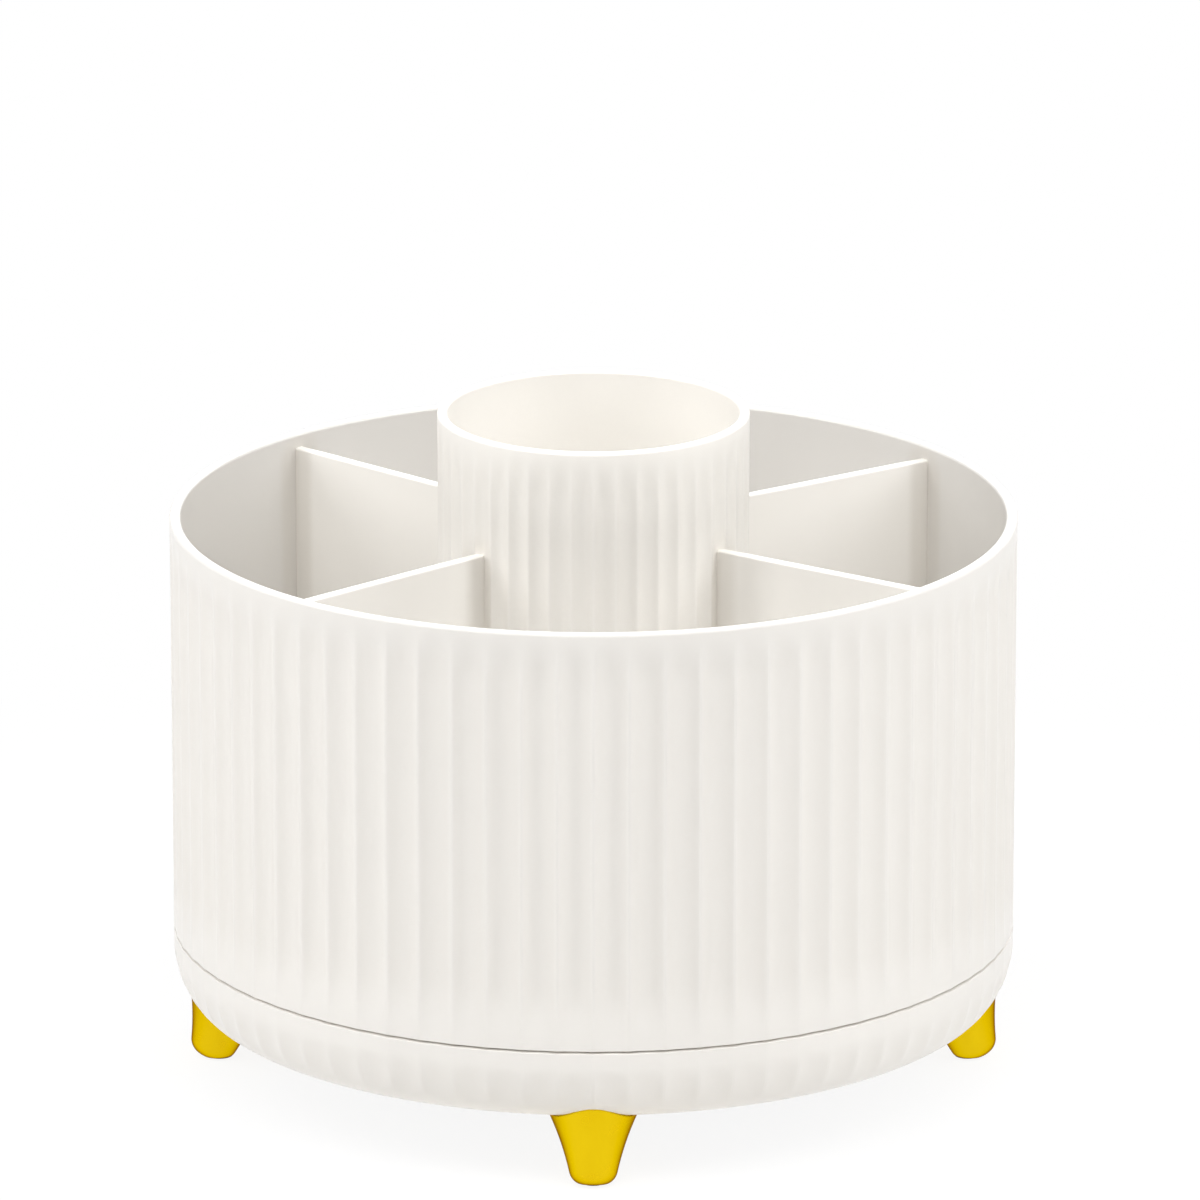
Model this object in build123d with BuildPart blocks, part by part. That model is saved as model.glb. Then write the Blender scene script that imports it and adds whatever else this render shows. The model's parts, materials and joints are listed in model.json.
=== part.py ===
from build123d import *
import os
from math import cos, degrees, radians, sin

# Rotating pen holder: a fluted round tub with a centre cup and four dividers, turning on a
# ring of balls in a shallow fluted dish that stands on four splayed feet.
# Millimetres, +Z up, floor at z = 0, front towards -Y, turning axis on Z.

# Outside sizes
outer_diameter = 160.0
tub_height = 79.9
foot_height = 13.6
cup_diameter = 58.8
cup_rise = 19.7
seam_gap = 0.7
skirt_drop = 1.2

# Walls and floors
wall = 2.2
tub_floor = 2.2
dish_floor = 2.2
cup_wall = 1.9
cup_floor = 4.0
cup_seat = 0.6
floor_corner = 2.0
round_share = 0.45

# Rim bands above the flutes
rim_band = 1.6
rim_proud = 0.3
rim_round = 0.9
cup_band = 1.2
cup_proud = 0.2
cup_round = 0.8

# Flutes
flute_count = 76
flute_depth = 0.55
flute_land = 0.5
cup_flute_count = 44
cup_flute_depth = 0.4
cup_flute_land = 0.35

# Rounded lower edge of the dish
dish_round_width = 7.5
dish_round_height = 11.3
land_lift = 0.05

# Dividers, swung to the left and to the right of the front to back line
left_divider_angle = 47.0
right_divider_angle = 55.0
divider_thickness = 2.0
divider_drop = 2.6
divider_round = 0.5
divider_play = 0.1
cup_groove = 0.9
tab_length = 10.0
tab_depth = 1.2
tab_margin = 14.0

# Ball ring
ball_diameter = 6.0
ball_count = 16
ring_room = 5.2
ball_play = 0.05
race_web = 3.9
race_width = 12.0
race_gap = 2.9
race_play = 0.1
rib_thickness = 1.2
rib_height = 2.0
cage_thickness = 2.0
cage_width = 9.0
pocket_play = 0.15

# Pivot
shaft_diameter = 8.0
shaft_head_diameter = 14.0
shaft_head_height = 2.0
bush_wall = 2.5
bush_flange_width = 2.5
bush_flange_thickness = 1.2
washer_diameter = 18.0
washer_thickness = 1.2
washer_room = 1.5
hub_wall = 3.0
hub_drop = 2.6
tub_hub_wall = 6.0
cap_thickness = 1.6
cap_chamfer = 0.4
head_room = 0.9
running_play = 0.05
axial_play = 0.3
seat_play = 0.02

# Screws
screw_diameter = 3.0
screw_head_diameter = 5.6
screw_head_height = 2.0
cross_length = 3.2
cross_width = 0.8
cross_depth = 1.0
screw_room = 0.2
cup_screw_count = 3
cup_screw_circle = 36.0
cup_screw_bite = 3.0
retaining_screw_bite = 9.0
foot_screw_bite = 6.0
hole_spare = 0.2

# Feet and pads
foot_inset = 6.3
foot_splay = 18.0
foot_tip_radius = 4.0
foot_tip_round = 3.0
foot_top_radius = 9.2
foot_flare_length = 15.3
foot_flare_sag = 0.6
foot_play = 0.05
pad_diameter = 4.8
pad_height = 1.6
pad_proud = 0.4
pad_inset = 1.9

# Radii
rim_radius = outer_diameter / 2
ridge_radius = rim_radius - rim_proud
inner_radius = rim_radius - wall
cup_radius = cup_diameter / 2
cup_ridge_radius = cup_radius - cup_proud
cup_inner_radius = cup_radius - cup_wall
ball_radius = ball_diameter / 2
shaft_radius = shaft_diameter / 2
bush_bore_radius = shaft_radius + running_play
bush_radius = bush_bore_radius + bush_wall
hub_recess_radius = washer_diameter / 2 + washer_room
screw_radius = screw_diameter / 2
screw_head_radius = screw_head_diameter / 2
thread_hole_radius = screw_radius + seat_play
clear_hole_radius = screw_radius + screw_room
foot_screw_circle = inner_radius - dish_round_width - screw_head_radius - screw_room
race_edge_radius = foot_screw_circle - screw_head_radius - ring_room - rib_thickness - race_play
ball_ring_radius = race_edge_radius - race_width / 2

# Heights, from the floor up
dish_z = foot_height
dish_floor_z = dish_z + dish_floor
round_z = dish_z + dish_round_height
ball_z = dish_floor_z + race_web + ball_play + ball_radius
tub_under_z = ball_z + ball_radius + ball_play + race_web
tub_floor_z = tub_under_z + tub_floor
skirt_z = tub_under_z - skirt_drop
dish_rim_z = skirt_z - seam_gap
rim_z = skirt_z + tub_height
cup_z = tub_floor_z - cup_seat
cup_rim_z = rim_z + cup_rise
divider_top_z = rim_z - divider_drop
cap_z = dish_z + cap_thickness
washer_z = cap_z + head_room + screw_head_height
shaft_z = washer_z + washer_thickness
hub_recess_z = shaft_z + axial_play
tub_hub_z = tub_under_z - hub_drop
bush_top_z = tub_hub_z - axial_play
hub_top_z = bush_top_z - bush_flange_thickness

# Foot axes
splay_sin = sin(radians(foot_splay))
splay_cos = cos(radians(foot_splay))
foot_radius = ridge_radius - foot_inset
foot_reach = (dish_floor_z + foot_top_radius * splay_sin) / splay_cos

# Directions round the turning axis, in degrees from +X
foot_angles = {"front": -90, "right": 0, "rear": 90, "left": 180}
divider_angles = {
    "divider_front_left": -90 - left_divider_angle,
    "divider_front_right": -90 + right_divider_angle,
    "divider_rear_right": 90 - right_divider_angle,
    "divider_rear_left": 90 + left_divider_angle,
}
tab_radii = (cup_radius + tab_margin, inner_radius - tab_margin)

UP = (Align.CENTER, Align.CENTER, Align.MIN)
DOWN = (Align.CENTER, Align.CENTER, Align.MAX)


def polar(radius, angle):
    """Point at a radius and an angle in degrees."""
    return (radius * cos(radians(angle)), radius * sin(radians(angle)))


def finish(builder, name):
    """Label a finished piece and write it."""
    builder.part.label = name
    export_step(builder.part, f"parts/{name}.step")


def fluted_face(radius, count, depth, land):
    """Round face edged with shallow concave flutes and narrow lands between them."""
    pitch = 360 / count
    land_angle = degrees(land / radius)
    with BuildLine() as outline:
        for index in range(count):
            land_start = index * pitch - land_angle / 2
            flute_start = land_start + land_angle
            flute_end = land_start + pitch
            CenterArc((0, 0), radius, land_start, land_angle)
            ThreePointArc(
                polar(radius, flute_start),
                polar(radius - depth, (flute_start + flute_end) / 2),
                polar(radius, flute_end),
            )
    make_face(outline.edges())


def rim_disc(radius, top_z, band, thickness):
    """Half section of a smooth rim band whose underside slopes in over the flute ends."""
    with BuildLine() as outline:
        Polyline(
            (0, top_z),
            (radius, top_z),
            (radius, top_z - band),
            (radius - thickness, top_z - band - thickness),
            (0, top_z - band - thickness),
            close=True,
        )
    make_face(outline.edges())


def hollow(radius, floor_z, top_z):
    """Half section of a round hollow with a rounded floor corner."""
    with Locations((0, floor_z)):
        Rectangle(radius, top_z - floor_z, align=(Align.MIN, Align.MIN))
    fillet(vertices().group_by(Axis.Y)[0].sort_by(Axis.X)[-1:], floor_corner)


def dish_form(growth):
    """Half section of the dish's outside, grown by a clearance."""
    corner = ridge_radius - dish_round_width
    round_width = dish_round_width + land_lift + growth
    round_height = dish_round_height + growth
    with BuildLine() as outline:
        Polyline(
            (corner, dish_z - growth),
            (0, dish_z - growth),
            (0, dish_rim_z),
            (corner + round_width, dish_rim_z),
            (corner + round_width, round_z),
        )
        EllipticalCenterArc((corner, round_z), round_width, round_height, start_angle=270, arc_size=90)
    make_face(outline.edges())


def dish_hollow():
    """Half section of the dish's inside."""
    corner = inner_radius - dish_round_width
    round_height = round_z - dish_floor_z
    with BuildLine() as outline:
        Polyline(
            (corner, dish_floor_z),
            (0, dish_floor_z),
            (0, dish_rim_z),
            (inner_radius, dish_rim_z),
            (inner_radius, round_z),
        )
        EllipticalCenterArc((corner, round_z), dish_round_width, round_height, start_angle=270, arc_size=90)
    make_face(outline.edges())


def race_section(low_z, high_z):
    """Half section of a ball race between two heights, with its groove."""
    with Locations((ball_ring_radius, low_z)):
        Rectangle(race_width, high_z - low_z, align=(Align.CENTER, Align.MIN))
    with Locations((ball_ring_radius, ball_z)):
        Circle(ball_radius + ball_play, mode=Mode.SUBTRACT)


def race_ribs(low_z):
    """Two low rings that hold a race sideways."""
    inner = ball_ring_radius - race_width / 2 - race_play
    outer = race_edge_radius + race_play
    with BuildSketch(Plane.XY.offset(low_z)) as ribs:
        Circle(outer + rib_thickness)
        Circle(outer, mode=Mode.SUBTRACT)
        Circle(inner)
        Circle(inner - rib_thickness, mode=Mode.SUBTRACT)
    extrude(ribs.sketch, amount=rib_height)


def pan_screw(bite):
    """Screw standing on its pan head at the current location, with a cross recess."""
    Cylinder(screw_radius, bite, align=UP)
    Cylinder(screw_head_radius, screw_head_height, align=DOWN)
    with Locations((0, 0, -screw_head_height)):
        Box(cross_length, cross_width, cross_depth, align=UP, mode=Mode.SUBTRACT)
        Box(cross_width, cross_length, cross_depth, align=UP, mode=Mode.SUBTRACT)


def side_plane(angle):
    """Upright plane on the turning axis: x outwards at an angle, y up."""
    across, along = polar(1, angle)
    return Plane(origin=(0, 0, 0), x_dir=(across, along, 0), z_dir=(along, -across, 0))


def foot_plane(angle):
    """Plane through a foot's axis: x outwards across the foot, y up along its axis."""
    across, along = polar(1, angle)
    return Plane(
        origin=(foot_radius * across, foot_radius * along, 0),
        x_dir=(splay_cos * across, splay_cos * along, splay_sin),
        z_dir=(along, -across, 0),
    )


os.makedirs("parts", exist_ok=True)

# Tub: fluted wall, smooth rounded rim, floor, short skirt and underside hub
with BuildPart() as tub_shell:
    with BuildSketch(Plane.XY.offset(skirt_z)):
        fluted_face(ridge_radius, flute_count, flute_depth, flute_land)
    extrude(amount=tub_height - rim_band)
    with BuildSketch(Plane.XZ):
        rim_disc(rim_radius, rim_z, rim_band, wall)
    revolve(axis=Axis.Z)
    with BuildSketch(Plane.XZ):
        hollow(inner_radius, tub_floor_z, rim_z)
    revolve(axis=Axis.Z, mode=Mode.SUBTRACT)
    fillet(edges().filter_by(GeomType.CIRCLE).group_by(Axis.Z)[-1], min(rim_round, round_share * wall))
    with Locations((0, 0, skirt_z)):
        Cylinder(inner_radius, skirt_drop, align=UP, mode=Mode.SUBTRACT)
    race_ribs(tub_under_z - rib_height)
    with Locations((0, 0, tub_hub_z)):
        Cylinder(shaft_radius + tub_hub_wall, hub_drop, align=UP)
        Cylinder(shaft_radius + seat_play, hub_drop + tub_floor, align=UP, mode=Mode.SUBTRACT)
    with Locations((0, 0, tub_under_z)):
        with PolarLocations(cup_screw_circle / 2, cup_screw_count):
            Cylinder(clear_hole_radius, tub_floor, align=UP, mode=Mode.SUBTRACT)
    with Locations((0, 0, tub_floor_z)):
        Cylinder(cup_ridge_radius + divider_play, cup_seat, align=DOWN, mode=Mode.SUBTRACT)
        for angle in divider_angles.values():
            for radius in tab_radii:
                with PolarLocations(radius, 1, angle):
                    Box(
                        tab_length + 2 * divider_play,
                        divider_thickness + 2 * divider_play,
                        tab_depth + divider_play,
                        align=DOWN,
                        mode=Mode.SUBTRACT,
                    )
finish(tub_shell, "tub_shell")

# Centre cup: fluted, grooved for the dividers' inner edges, pocketed for the shaft's head
with BuildPart() as center_cup:
    with BuildSketch(Plane.XY.offset(cup_z)):
        fluted_face(cup_ridge_radius, cup_flute_count, cup_flute_depth, cup_flute_land)
    extrude(amount=cup_rim_z - cup_band - cup_z)
    with BuildSketch(Plane.XZ):
        rim_disc(cup_radius, cup_rim_z, cup_band, cup_wall)
    revolve(axis=Axis.Z)
    with BuildSketch(Plane.XZ):
        hollow(cup_inner_radius, cup_z + cup_floor, cup_rim_z)
    revolve(axis=Axis.Z, mode=Mode.SUBTRACT)
    fillet(edges().filter_by(GeomType.CIRCLE).group_by(Axis.Z)[-1], min(cup_round, round_share * cup_wall))
    with Locations((0, 0, cup_z)):
        for angle in divider_angles.values():
            with PolarLocations(cup_ridge_radius, 1, angle):
                Box(
                    2 * cup_groove,
                    divider_thickness + 2 * divider_play,
                    divider_top_z + divider_play - cup_z,
                    align=UP,
                    mode=Mode.SUBTRACT,
                )
        Cylinder(
            shaft_head_diameter / 2 + divider_play,
            shaft_head_height + divider_play,
            align=UP,
            mode=Mode.SUBTRACT,
        )
        with PolarLocations(cup_screw_circle / 2, cup_screw_count):
            Cylinder(thread_hole_radius, cup_screw_bite + hole_spare, align=UP, mode=Mode.SUBTRACT)
finish(center_cup, "center_cup")

# Dividers: flat panels with a rounded top, tabbed into the floor and keyed into the cup
panel_start = cup_ridge_radius - cup_groove + divider_play
panel_length = inner_radius - panel_start
for name, angle in divider_angles.items():
    with BuildPart() as divider:
        with BuildSketch(Plane.XY.offset(tub_floor_z)):
            with PolarLocations(panel_start + panel_length / 2, 1, angle):
                Rectangle(panel_length, divider_thickness)
            Circle(inner_radius - divider_play, mode=Mode.INTERSECT)
        extrude(amount=divider_top_z - tub_floor_z)
        chamfer(edges().filter_by(GeomType.CIRCLE).sort_by(Axis.Z)[0], floor_corner + divider_play)
        top_edges = edges().group_by(Axis.Z)[-1].sort_by(SortBy.LENGTH)
        fillet(top_edges[-2:], min(divider_round, round_share * divider_thickness))
        with Locations((0, 0, tub_floor_z)):
            for radius in tab_radii:
                with PolarLocations(radius, 1, angle):
                    Box(tab_length, divider_thickness, tab_depth, align=DOWN)
    finish(divider, name)

# Screws that hold the cup down on the tub floor
with BuildPart() as cup_screws:
    with Locations((0, 0, tub_under_z)):
        with PolarLocations(cup_screw_circle / 2, cup_screw_count):
            pan_screw(tub_floor - cup_seat + cup_screw_bite)
finish(cup_screws, "cup_screws")

# Ball ring: a race under the tub floor, a race on the dish floor, a cage and its balls
with BuildPart() as upper_race:
    with BuildSketch(Plane.XZ):
        race_section(ball_z + race_gap / 2, tub_under_z)
    revolve(axis=Axis.Z)
finish(upper_race, "upper_race")

with BuildPart() as lower_race:
    with BuildSketch(Plane.XZ):
        race_section(dish_floor_z, ball_z - race_gap / 2)
    revolve(axis=Axis.Z)
finish(lower_race, "lower_race")

with BuildPart() as ball_cage:
    with BuildSketch(Plane.XY.offset(ball_z - cage_thickness / 2)):
        Circle(ball_ring_radius + cage_width / 2)
        Circle(ball_ring_radius - cage_width / 2, mode=Mode.SUBTRACT)
        with PolarLocations(ball_ring_radius, ball_count):
            Circle(ball_radius + pocket_play, mode=Mode.SUBTRACT)
    extrude(amount=cage_thickness)
finish(ball_cage, "ball_cage")

with BuildPart() as bearing_balls:
    with Locations((0, 0, ball_z)):
        with PolarLocations(ball_ring_radius, ball_count):
            Sphere(ball_radius)
finish(bearing_balls, "bearing_balls")

# Pivot: headed shaft, washer and screw turn with the tub, the flanged bush stays in the dish
with BuildPart() as pivot_shaft:
    with Locations((0, 0, cup_z)):
        Cylinder(shaft_head_diameter / 2, shaft_head_height, align=UP)
        Cylinder(shaft_radius, cup_z - shaft_z, align=DOWN)
    with Locations((0, 0, shaft_z)):
        Cylinder(thread_hole_radius, retaining_screw_bite + hole_spare, align=UP, mode=Mode.SUBTRACT)
finish(pivot_shaft, "pivot_shaft")

with BuildPart() as retaining_washer:
    with Locations((0, 0, washer_z)):
        Cylinder(washer_diameter / 2, washer_thickness, align=UP)
        Cylinder(clear_hole_radius, washer_thickness, align=UP, mode=Mode.SUBTRACT)
finish(retaining_washer, "retaining_washer")

with BuildPart() as retaining_screw:
    with Locations((0, 0, washer_z)):
        pan_screw(washer_thickness + retaining_screw_bite)
finish(retaining_screw, "retaining_screw")

with BuildPart() as pivot_bush:
    with Locations((0, 0, hub_recess_z)):
        Cylinder(bush_radius, bush_top_z - hub_recess_z, align=UP)
    with Locations((0, 0, bush_top_z)):
        Cylinder(bush_radius + bush_flange_width, bush_flange_thickness, align=DOWN)
        Cylinder(bush_bore_radius, bush_top_z - hub_recess_z, align=DOWN, mode=Mode.SUBTRACT)
finish(pivot_bush, "pivot_bush")

# Base dish: fluted side that runs out on a rounded lower edge, hub and race ribs inside
with BuildPart() as base_dish:
    with BuildSketch(Plane.XZ):
        dish_form(0)
    revolve(axis=Axis.Z)
    with BuildSketch(Plane.XY.offset(dish_z)):
        fluted_face(ridge_radius, flute_count, flute_depth, flute_land)
    extrude(amount=dish_rim_z - dish_z, mode=Mode.INTERSECT)
    with BuildSketch(Plane.XZ):
        dish_hollow()
    revolve(axis=Axis.Z, mode=Mode.SUBTRACT)
    race_ribs(dish_floor_z)
    with Locations((0, 0, dish_z)):
        Cylinder(hub_recess_radius + hub_wall, hub_top_z - dish_z, align=UP)
        Cylinder(hub_recess_radius, hub_recess_z - dish_z, align=UP, mode=Mode.SUBTRACT)
        Cylinder(bush_radius + seat_play, hub_top_z - dish_z, align=UP, mode=Mode.SUBTRACT)
        for angle in foot_angles.values():
            with PolarLocations(foot_screw_circle, 1, angle):
                Cylinder(clear_hole_radius, dish_floor, align=UP, mode=Mode.SUBTRACT)
finish(base_dish, "base_dish")

# Cap that closes the hub from below
with BuildPart() as hub_cap:
    with Locations((0, 0, dish_z)):
        Cylinder(hub_recess_radius - running_play, cap_thickness, align=UP)
    chamfer(edges().group_by(Axis.Z)[0], min(cap_chamfer, round_share * cap_thickness))
finish(hub_cap, "hub_cap")

# Feet: splayed flared cones with rounded tips, trimmed to the dish and flat at the floor
pad_circle = foot_radius - pad_inset
for side, angle in foot_angles.items():
    plane = foot_plane(angle)
    with BuildPart() as foot:
        with BuildSketch(plane):
            with BuildLine():
                Polyline(
                    (foot_top_radius, foot_flare_length),
                    (foot_top_radius, foot_reach),
                    (0, foot_reach),
                    (0, 0),
                    (foot_tip_radius, 0),
                )
                SagittaArc(
                    (foot_tip_radius, 0),
                    (foot_top_radius, foot_flare_length),
                    foot_flare_sag,
                )
            make_face()
            fillet(vertices().group_by(Axis.Y)[0].sort_by(Axis.X)[-1:], foot_tip_round)
        revolve(axis=Axis(plane.origin, plane.y_dir))
        with BuildSketch(side_plane(angle + 90)):
            dish_form(foot_play)
        revolve(axis=Axis.Z, mode=Mode.SUBTRACT)
        with Locations(polar(foot_radius, angle) + (pad_proud,)):
            Cylinder(2 * foot_top_radius, foot_height, align=DOWN, mode=Mode.SUBTRACT)
        with Locations(polar(pad_circle, angle) + (0,)):
            Cylinder(pad_diameter / 2 + running_play, pad_height, align=UP, mode=Mode.SUBTRACT)
        with Locations(polar(foot_screw_circle, angle) + (dish_z,)):
            Cylinder(thread_hole_radius, foot_screw_bite + hole_spare, align=DOWN, mode=Mode.SUBTRACT)
    finish(foot, f"foot_{side}")

    with BuildPart() as foot_pad:
        with Locations(polar(pad_circle, angle) + (0,)):
            Cylinder(pad_diameter / 2, pad_height, align=UP)
    finish(foot_pad, f"foot_pad_{side}")

# Screws that hold the feet, driven down from inside the dish
with BuildPart() as foot_screws:
    for angle in foot_angles.values():
        with Locations(Location(polar(foot_screw_circle, angle) + (dish_floor_z,), (180, 0, 0))):
            pan_screw(dish_floor + foot_screw_bite)
finish(foot_screws, "foot_screws")
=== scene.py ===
"""Looks of a rotating pen holder: fluted white mouldings, flat dividers, gold feet and a pale studio.

Lengths are in metres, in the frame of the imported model: +Z up, front towards -Y, turning axis on Z.
"""

import json
from math import atan2, cos, radians, sin, sqrt, tau

import bpy
from bpy.props import FloatProperty, FloatVectorProperty, IntProperty, PointerProperty
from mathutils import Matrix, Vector


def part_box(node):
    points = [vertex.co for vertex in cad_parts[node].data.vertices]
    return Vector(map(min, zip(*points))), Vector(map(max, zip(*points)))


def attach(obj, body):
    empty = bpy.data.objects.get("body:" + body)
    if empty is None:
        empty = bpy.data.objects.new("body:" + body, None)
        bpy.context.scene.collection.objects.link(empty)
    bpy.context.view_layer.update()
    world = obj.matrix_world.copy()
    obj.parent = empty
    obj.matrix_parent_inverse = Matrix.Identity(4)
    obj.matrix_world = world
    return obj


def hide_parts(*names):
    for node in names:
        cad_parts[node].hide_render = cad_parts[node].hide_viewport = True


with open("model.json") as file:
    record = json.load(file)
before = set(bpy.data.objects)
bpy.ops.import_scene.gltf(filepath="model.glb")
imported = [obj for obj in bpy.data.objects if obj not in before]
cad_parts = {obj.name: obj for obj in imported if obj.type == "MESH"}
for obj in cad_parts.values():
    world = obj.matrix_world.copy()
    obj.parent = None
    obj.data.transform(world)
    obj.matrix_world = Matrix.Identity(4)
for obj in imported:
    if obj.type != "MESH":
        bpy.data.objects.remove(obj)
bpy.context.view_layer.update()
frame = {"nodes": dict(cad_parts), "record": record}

bl_info = {
    "name": "Rotating Pen Holder",
    "version": (1, 0, 0),
    "blender": (4, 5, 0),
    "location": "View3D > Sidebar > Pen Holder",
    "description": "Builds the mouldings, finishes and studio of a rotating pen holder",
    "category": "Object",
}

MM = 0.001
WHITE = (1.0, 1.0, 1.0, 1.0)

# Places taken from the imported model
TUB_LOW, TUB_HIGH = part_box("tub_shell")
TUB_RADIUS = min(-TUB_LOW.x, TUB_HIGH.x, -TUB_LOW.y, TUB_HIGH.y)
CUP_LOW, CUP_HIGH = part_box("center_cup")
DISH_LOW, DISH_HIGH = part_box("base_dish")
TUB_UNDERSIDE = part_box("upper_race")[1].z
DISH_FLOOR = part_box("lower_race")[0].z
DIVIDER_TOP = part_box("divider_front_left")[1].z
RACE_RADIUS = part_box("upper_race")[1].x
BODY_OF_NODE = {
    node: body for body, nodes in frame["record"]["behaviour"]["bodies"].items() for node in nodes
}
DIVIDER_NODES = [node for node in sorted(BODY_OF_NODE) if node.startswith("divider_")]
PAD_NODES = [node for node in sorted(BODY_OF_NODE) if node.startswith("foot_pad_")]
FOOT_NODES = [
    node
    for node in sorted(BODY_OF_NODE)
    if node.startswith("foot_") and node not in PAD_NODES and node != "foot_screws"
]

# Steps that the curves and walls are drawn in
EDGE_STEPS = 4
CORNER_STEPS = 6
PANEL_ROUND_STEPS = 5
PANEL_SIDE_STEPS = 6
PANEL_STATIONS = 12
FLUTE_STEPS = 10
WALL_STEPS = 8
FOOT_FADE_STEPS = 8
LIP_FADE_STEPS = 16
TUB_INSIDE_STEPS = 6
CUP_INSIDE_STEPS = 8
FLOOR_STEPS = 3
DISH_UNDERSIDE_STEPS = 4
DISH_ROUND_STEPS = 28
DISH_INSIDE_STEPS = 10
STUDIO_FLOOR_SIDES = 128

# Shading of the meshes
NORMAL_WEIGHT = 60
PANEL_SHARP_ANGLE = radians(50)

# Where the dish's flutes grow and fade, as shares of the way up its rounding
DISH_RISE_START = 0.38
DISH_RISE_SPAN = 0.32
DISH_FALL_START = 0.78
DISH_FALL_SPAN = 0.22

# Strength of the finishes' detail; the hollow and crevice ones set painted shade in flutes, seams and
# joints
PLASTIC_FLOW = 0.45
PLASTIC_HOLLOW_SHADE = 0.3
PLASTIC_SEAM_SHADE = 0.5
PLASTIC_POLISH = 0.03
PLASTIC_BUMP = 0.12
METAL_FLOW = 0.6
METAL_JOINT_SHADE = 0.75
METAL_DULLING = 0.12
METAL_BUMP = 0.05
BUMP_HEIGHT = 0.05 * MM
FLOW_STRETCH = (1.0, 1.0, 0.22)
HOLLOW_SAMPLES = 8

# Lamps: name, setting of the power, place, width and height
LAMPS = (
    ("left_lamp", "left_power", (-1.22, -0.28, 0.77), 0.25, 0.9),
    ("right_lamp", "right_power", (1.15, -0.42, 0.80), 0.3, 0.9),
    ("left_skim_lamp", "skim_power", (-1.20, 0.35, 0.77), 0.25, 0.9),
    ("right_skim_lamp", "skim_power", (1.17, 0.30, 0.80), 0.3, 0.9),
    ("front_lamp", "front_power", (-0.05, -0.85, 1.60), 2.6, 0.9),
    ("rear_lamp", "rear_power", (0.25, 1.60, 0.95), 1.6, 0.8),
)


def length(name, default, description):
    """Length property shown in the scene's units."""
    return FloatProperty(
        name=name, description=description, default=default, min=0.0, unit="LENGTH", precision=5
    )


def angle(name, default, description):
    """Angle property given in degrees."""
    return FloatProperty(name=name, description=description, default=radians(default), unit="ROTATION")


def share(name, default, description):
    """Share between nothing and all."""
    return FloatProperty(
        name=name, description=description, default=default, min=0.0, max=1.0, subtype="FACTOR"
    )


def number(name, default, description):
    """Number of like features round a piece."""
    return IntProperty(name=name, description=description, default=default, min=3)


def watts(name, default, description):
    """Power of a lamp."""
    return FloatProperty(name=name, description=description, default=default, min=0.0, unit="POWER")


def millimetres(name, default, description):
    """Length inside the camera."""
    return FloatProperty(name=name, description=description, default=default, min=1.0, unit="CAMERA")


def colour(name, default, description):
    """Linear colour property."""
    return FloatVectorProperty(
        name=name, description=description, default=default, subtype="COLOR", min=0.0, max=1.0, size=3
    )


class FluteSettings(bpy.types.PropertyGroup):
    """Flutes of the tub, the dish and the cup."""

    tub_count: number("Tub flutes", 76, "Flutes round the tub and the dish")
    tub_depth: length("Tub flute depth", 0.95 * MM, "Depth of a flute of the tub and the dish")
    tub_land: length("Tub land", 0.5 * MM, "Width of the ridge between two flutes of the tub")
    cup_count: number("Cup flutes", 44, "Flutes round the cup")
    cup_depth: length("Cup flute depth", 0.55 * MM, "Depth of a flute of the cup")
    cup_land: length("Cup land", 0.35 * MM, "Width of the ridge between two flutes of the cup")
    softness: length("Ridge softness", 0.12 * MM, "Width over which a ridge's corner is rounded")
    cut_softness: length("Cut softness", 0.15 * MM, "Rounding where a flute leaves the surface")
    lip_fade: length("Lip fade", 9.0 * MM, "Height over which flutes run out under a lip")
    foot_fade: length("Foot fade", 12.0 * MM, "Height over which the tub's flutes deepen from the seam")
    seam_share: share("Seam share", 0.12, "Share of the flutes' depth at the seam")
    dish_share: share("Dish share", 0.5, "Share of the tub flutes' depth on the dish")


class TubSettings(bpy.types.PropertyGroup):
    """Turning tub."""

    wall: length("Wall", 2.2 * MM, "Wall from the lip's outside to the inside")
    floor: length("Floor", 2.2 * MM, "Thickness of the floor")
    seam: length("Seam", 0.45 * MM, "Gap between the tub's skirt and the dish")
    edge: length("Seam edge", 0.15 * MM, "Rounding of the edges at the seam")
    corner: length("Floor corner", 2.0 * MM, "Rounding where the wall meets the floor")
    lip: length("Lip", 0.6 * MM, "Height of the smooth lip above the flutes")
    lip_round: length("Lip round", 0.55 * MM, "Rounding of the lip's edges")
    seat: length("Cup seat", 0.6 * MM, "Depth of the recess that the cup sits in")
    seat_play: length("Seat play", 0.1 * MM, "Gap round the cup in that recess")
    hub_radius: length("Hub radius", 10.0 * MM, "Outside of the hub below the floor")
    bore_radius: length("Bore radius", 4.02 * MM, "Bore that the pivot shaft fits in")


class CupSettings(bpy.types.PropertyGroup):
    """Cup in the middle of the tub."""

    wall: length("Wall", 1.9 * MM, "Wall of the cup")
    floor: length("Floor", 4.0 * MM, "Thickness of the cup's floor")
    corner: length("Floor corner", 2.0 * MM, "Rounding where the wall meets the floor")
    edge: length("Foot edge", 0.2 * MM, "Rounding of the cup's lower edge")
    lip: length("Lip", 0.6 * MM, "Height of the smooth lip above the flutes")
    lip_round: length("Lip round", 0.55 * MM, "Rounding of the lip's edges")
    pocket_radius: length("Pocket radius", 7.1 * MM, "Pocket for the pivot shaft's head")
    pocket_depth: length("Pocket depth", 2.1 * MM, "Depth of that pocket")


class DividerSettings(bpy.types.PropertyGroup):
    """Flat panels between the cup and the wall."""

    thickness: length("Thickness", 2.0 * MM, "Thickness of a panel")
    top_round: length("Top round", 0.4 * MM, "Rounding of a panel's top edges")
    foot_round: length("Foot round", 0.8 * MM, "Flare where a panel meets the floor")
    key: length("Key", 0.9 * MM, "How far a panel is keyed into the cup")


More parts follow.
